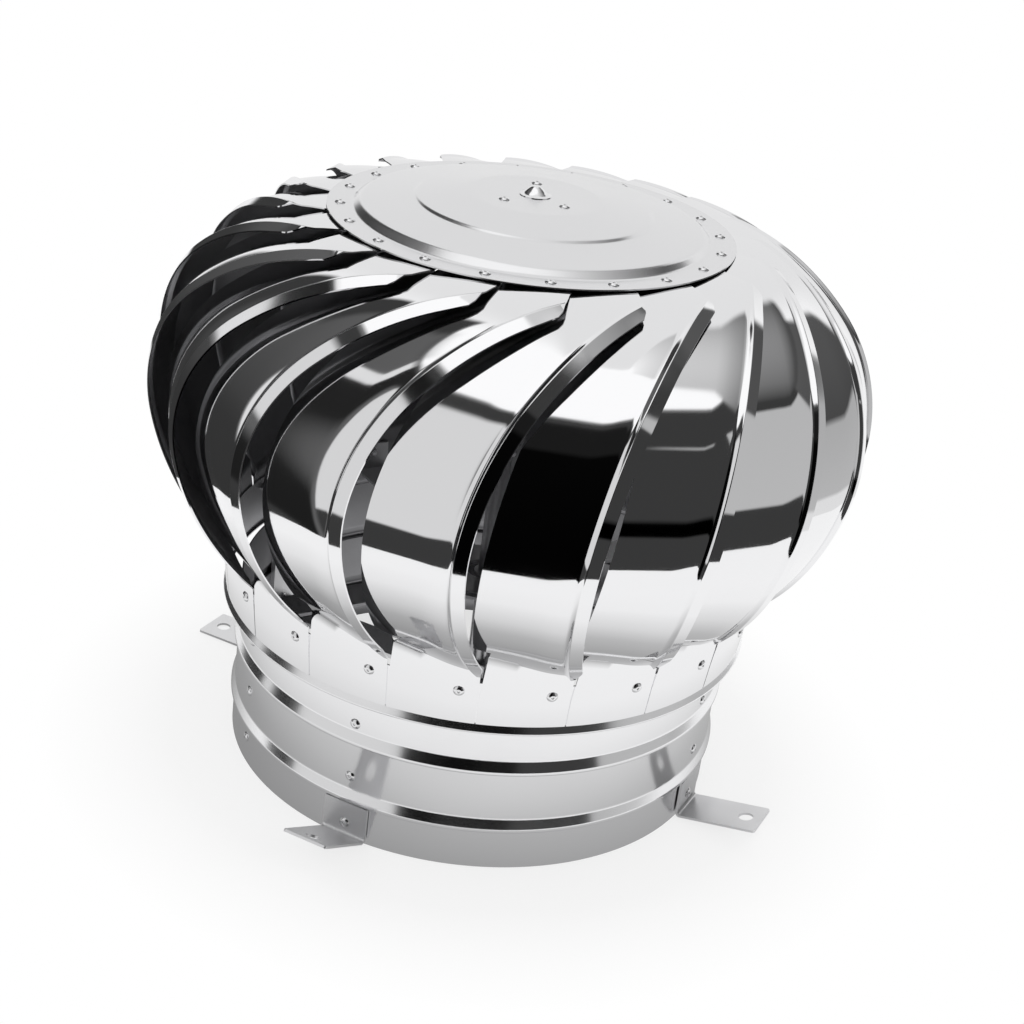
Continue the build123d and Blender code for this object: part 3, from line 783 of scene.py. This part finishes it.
# Panels of the studio in the order in which they cover each other: azimuths, elevations, level at the lower
# and the upper edge, and the softness of the sides and of the ends, in degrees
PANELS = (
    ("back wall", 50, 118, -90, 90, 0.86, 0.86, 30, 2),
    ("dark surround", 118, 405, -90, 59, 0.045, 0.045, 4, 2),
    ("left wall, lower part", 136, 170, -90, -4, 0.03, 0.04, 8, 14),
    ("left wall, upper part", 136, 170, -4, 59, 0.05, 0.13, 8, 14),
    ("left strip", 169, 177, -14, 57, 0.82, 0.82, 1.2, 2),
    ("left wall's dark end", 177, 194.5, -60, 59, 0.012, 0.02, 2, 4),
    ("left wall's light end", 190.5, 194.5, -60, 50, 0.13, 0.13, 4, 4),
    ("large card", 194, 244.5, -28, 49.5, 0.75, 0.75, 0.6, 0.8),
    ("camera side", 244.5, 292, -90, 54, 0.0, 0.002, 2, 1),
    ("above the camera", 244.5, 292, 36, 54, 0.012, 0.012, 2, 3),
    ("front strip", 306, 316, 35.8, 37.2, 0.4, 0.4, 2, 0.5),
    ("front gap", 293, 326, -19, -9, 0.0, 0.0, 1, 1),
    ("right card", 327, 366, -11, 38.5, 0.54, 0.52, 1.5, 1),
    ("right wall", 366, 405, 9, 59, 0.07, 0.12, 5, 5),
    ("low right card", 364, 405, -22, 9, 0.52, 0.45, 2, 2),
    ("right end", 368, 425, -90, -22, 0.82, 0.82, 2, 1),
    ("ceiling's right side", 342, 420, 42, 86, 0.05, 1.0, 6, 2),
)
# Rings of the disc of painted floor shadow: radius in millimetres, level on the left, level on the right
FLOOR_SHADE_RINGS = (
    (140, 0.24, 0.38),
    (190, 0.34, 0.54),
    (225, 0.56, 0.78),
    (275, 0.84, 0.98),
    (330, 1.0, 1.0),
    (380, 1.0, 1.0),
)
FLOOR_SHADE_STEPS = 96
FLOOR_SHADE_HEIGHT = -0.2 * MM
FLOOR_SHADE_RIGHT_AZIMUTH = -40.0
FLOOR_HEIGHT = -0.4 * MM
FLOOR_CENTRE = in_mm(100.0, 50.0)
FLOOR_RADIUS = 440.0 * MM
FLOOR_SIDES = 120
FLOOR_COLOUR = (0.95, 0.95, 0.95, 1)
FLOOR_FADE_START = 190.0 * MM
FLOOR_FADE_END = 270.0 * MM
FLOOR_GLOW = 0.72


def box_share(x, low, high, soft):
    """1 inside the limits, 0 outside, and smooth over the softness at each."""

    def step(t):
        t = min(max(t, 0.0), 1.0)
        return t * t * (3 - 2 * t)

    return step((x - low) / soft + 0.5) * step((high - x) / soft + 0.5)


def studio_level(azimuth, elevation):
    level = STUDIO_LEVEL
    for _, left, right, low, high, lower, upper, side_soft, end_soft in PANELS:
        share = max(box_share(azimuth + turns, left, right, side_soft) for turns in (0, 360))
        share *= box_share(elevation, low, high, end_soft)
        if share > 0:
            along = min(max((elevation - low) / (high - low), 0.0), 1.0)
            level += (lower + (upper - lower) * along - level) * share
    return level


def panel_material():
    """Glows with the strength that the mesh's level attribute gives."""
    material = bpy.data.materials.new("studio panels")
    material.use_nodes = True
    tree = material.node_tree
    tree.nodes.clear()
    output = tree.nodes.new("ShaderNodeOutputMaterial")
    glow = tree.nodes.new("ShaderNodeEmission")
    reading = tree.nodes.new("ShaderNodeAttribute")
    reading.attribute_name = "level"
    tree.links.new(reading.outputs["Fac"], glow.inputs["Strength"])
    tree.links.new(glow.outputs["Emission"], output.inputs["Surface"])
    return material


def glowing_stage(name, vertices, levels, faces, material):
    """A surface of the stage with a level at each vertex, which only reflections see."""
    mesh = bpy.data.meshes.new(name)
    mesh.from_pydata(vertices, [], faces)
    mesh.attributes.new("level", "FLOAT", "POINT").data.foreach_set("value", levels)
    mesh.materials.append(material)
    surface = add_object(name, mesh)
    surface.visible_camera = False
    surface.visible_diffuse = False
    surface.visible_shadow = False


def make_dome(material):
    vertices, levels = [], []
    for i in range(DOME_ROWS + 1):
        elevation = -90.0 + 180.0 * i / DOME_ROWS
        radius, height = DOME_RADIUS * cos(radians(elevation)), DOME_RADIUS * sin(radians(elevation))
        for j in range(DOME_STEPS):
            azimuth = 360.0 * j / DOME_STEPS
            point = polar(radius, azimuth, height)
            vertices.append((point.x, point.y, point.z + DOME_CENTRE_HEIGHT))
            levels.append(studio_level(azimuth, elevation))
    faces = band_faces(DOME_ROWS + 1, DOME_STEPS)
    glowing_stage("studio_dome", vertices, levels, faces, material)


def make_reflected_floor_shade(material):
    """A glowing disc on the floor round the foot that paints the object's shadow there for reflections: darkest
    next to the foot, lighter outwards and on the right.
    """
    vertices, levels = [], []
    for ring, left_level, right_level in FLOOR_SHADE_RINGS:
        for i in range(FLOOR_SHADE_STEPS):
            azimuth = 360.0 * i / FLOOR_SHADE_STEPS
            vertices.append(tuple(polar(ring * MM, azimuth, FLOOR_SHADE_HEIGHT)))
            rightness = 0.5 + 0.5 * cos(radians(azimuth - FLOOR_SHADE_RIGHT_AZIMUTH))
            levels.append(left_level + (right_level - left_level) * rightness)
    faces = band_faces(len(FLOOR_SHADE_RINGS), FLOOR_SHADE_STEPS)
    glowing_stage("reflected_floor_shade", vertices, levels, faces, material)


def make_floor():
    """Pale paper that takes the shadow near the object and fades into plain white away from it."""
    mesh = bpy.data.meshes.new("floor")
    points = [polar(FLOOR_RADIUS, 360.0 / FLOOR_SIDES * i, FLOOR_HEIGHT) for i in range(FLOOR_SIDES)]
    vertices = [(p.x + FLOOR_CENTRE[0], p.y + FLOOR_CENTRE[1], p.z) for p in points]
    mesh.from_pydata(vertices, [], [tuple(range(FLOOR_SIDES))])
    floor = add_object("floor", mesh)
    material = bpy.data.materials.new("pale floor")
    material.use_nodes = True
    tree = material.node_tree
    paper = tree.nodes["Principled BSDF"]
    paper.inputs["Base Color"].default_value = FLOOR_COLOUR
    paper.inputs["Roughness"].default_value = 1.0
    paper.inputs["Specular IOR Level"].default_value = 0.0
    glow = tree.nodes.new("ShaderNodeEmission")
    glow.inputs["Strength"].default_value = 1.0
    place = tree.nodes.new("ShaderNodeTexCoord")
    length = tree.nodes.new("ShaderNodeVectorMath")
    length.operation = "LENGTH"
    fade = tree.nodes.new("ShaderNodeMapRange")
    fade.inputs["From Min"].default_value = FLOOR_FADE_START
    fade.inputs["From Max"].default_value = FLOOR_FADE_END
    fade.inputs["To Min"].default_value = FLOOR_GLOW
    mix = tree.nodes.new("ShaderNodeMixShader")
    tree.links.new(place.outputs["Object"], length.inputs[0])
    tree.links.new(length.outputs["Value"], fade.inputs["Value"])
    tree.links.new(fade.outputs["Result"], mix.inputs["Fac"])
    tree.links.new(paper.outputs["BSDF"], mix.inputs[1])
    tree.links.new(glow.outputs["Emission"], mix.inputs[2])
    tree.links.new(mix.outputs["Shader"], tree.nodes["Material Output"].inputs["Surface"])
    mesh.materials.append(material)


panels = panel_material()
make_dome(panels)
# The disc round the foot is painted shadow: it glows darker near the foot and is seen only in reflections
make_reflected_floor_shade(panels)
make_floor()

world = bpy.data.worlds.new("studio")
world.use_nodes = True
bpy.context.scene.world = world
world.node_tree.nodes["Background"].inputs["Color"].default_value = (1, 1, 1, 1)
world.node_tree.nodes["Background"].inputs["Strength"].default_value = 1.0

# Camera, as solved from the photograph. The focal length and the centre are in pixels of its square picture
ELEVATION = 23.336
ROLL = 7.2656
DISTANCE = 1107.43 * MM
TARGET = Vector((0, 0, 200.0 * MM))
PICTURE_SIZE = 1024
FOCAL_LENGTH = 1849.32
CENTRE = (504.47, 438.83)
SENSOR_WIDTH = 36.0

tilt, roll = radians(ELEVATION), radians(ROLL)
forward = Vector((0, cos(tilt), -sin(tilt)))
level_right = Vector((1, 0, 0))
level_up = Vector((0, sin(tilt), cos(tilt)))
camera_right = level_right * cos(roll) + level_up * sin(roll)
camera_up = level_up * cos(roll) - level_right * sin(roll)
camera_data = bpy.data.cameras.new("camera")
camera_data.sensor_width = SENSOR_WIDTH
camera_data.lens = FOCAL_LENGTH * SENSOR_WIDTH / PICTURE_SIZE
camera_data.shift_x = (PICTURE_SIZE / 2 - CENTRE[0]) / PICTURE_SIZE
camera_data.shift_y = (CENTRE[1] - PICTURE_SIZE / 2) / PICTURE_SIZE
camera_data.clip_end = 50.0
camera = add_object("camera", camera_data)
placing = Matrix((camera_right, camera_up, -forward)).transposed().to_4x4()
placing.translation = TARGET - forward * DISTANCE
camera.matrix_world = placing
bpy.context.scene.camera = camera
bpy.context.scene.view_settings.view_transform = "Standard"
